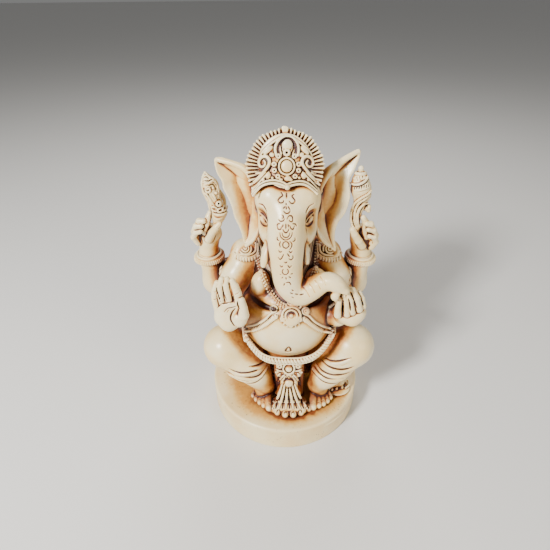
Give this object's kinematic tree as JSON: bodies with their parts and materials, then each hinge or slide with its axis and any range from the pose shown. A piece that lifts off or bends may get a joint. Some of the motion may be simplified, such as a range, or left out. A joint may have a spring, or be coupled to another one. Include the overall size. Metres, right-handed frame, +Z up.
{
  "type": "seated ganesha idol",
  "caption": "Seated elephant-headed devotional figure with four arms and a fluted crown, cast in cream resin with a brown wash, on a round plinth.",
  "frame": {"origin": "centre of the plinth's underside, on the surface that it stands on", "axes": "+Z up, the figure faces -Y, and its own right side is at -X"},
  "size_m": [0.1676, 0.16, 0.3056],
  "materials": {
    "resin_cream": "satin cast marble-dust resin with a thin brown wash in the recesses",
    "resin_dark": "satin cast marble-dust resin, brown wash held in fine carving"
  },
  "bodies": {
    "root": {"plinth": "resin_cream", "footing": "resin_cream", "torso": "resin_cream", "right_leg": "resin_cream", "left_leg": "resin_cream", "right_foot": "resin_cream", "left_foot": "resin_cream", "front_cloth": "resin_dark", "belt": "resin_dark", "belt_clasp": "resin_dark", "head": "resin_cream", "trunk": "resin_cream", "right_ear": "resin_cream", "left_ear": "resin_cream", "right_tusk": "resin_dark", "left_tusk": "resin_dark", "crown_cap": "resin_dark", "crown_front": "resin_dark", "crown_rim": "resin_dark", "right_rear_arm": "resin_cream", "left_rear_arm": "resin_cream", "right_rear_hand": "resin_cream", "left_rear_hand": "resin_cream", "right_rear_bangle": "resin_dark", "left_rear_bangle": "resin_dark", "lotus_bud": "resin_dark", "conch": "resin_dark", "right_front_arm": "resin_cream", "left_front_arm": "resin_cream", "blessing_hand": "resin_cream", "offering_hand": "resin_cream", "left_front_bangle": "resin_dark", "sweet": "resin_cream", "right_collar": "resin_dark", "left_collar": "resin_dark", "right_armlet": "resin_dark", "left_armlet": "resin_dark", "garland": "resin_dark", "medallion": "resin_dark", "right_swag": "resin_dark", "left_swag": "resin_dark", "mouse": "resin_cream"}
  },
  "joints": []
}
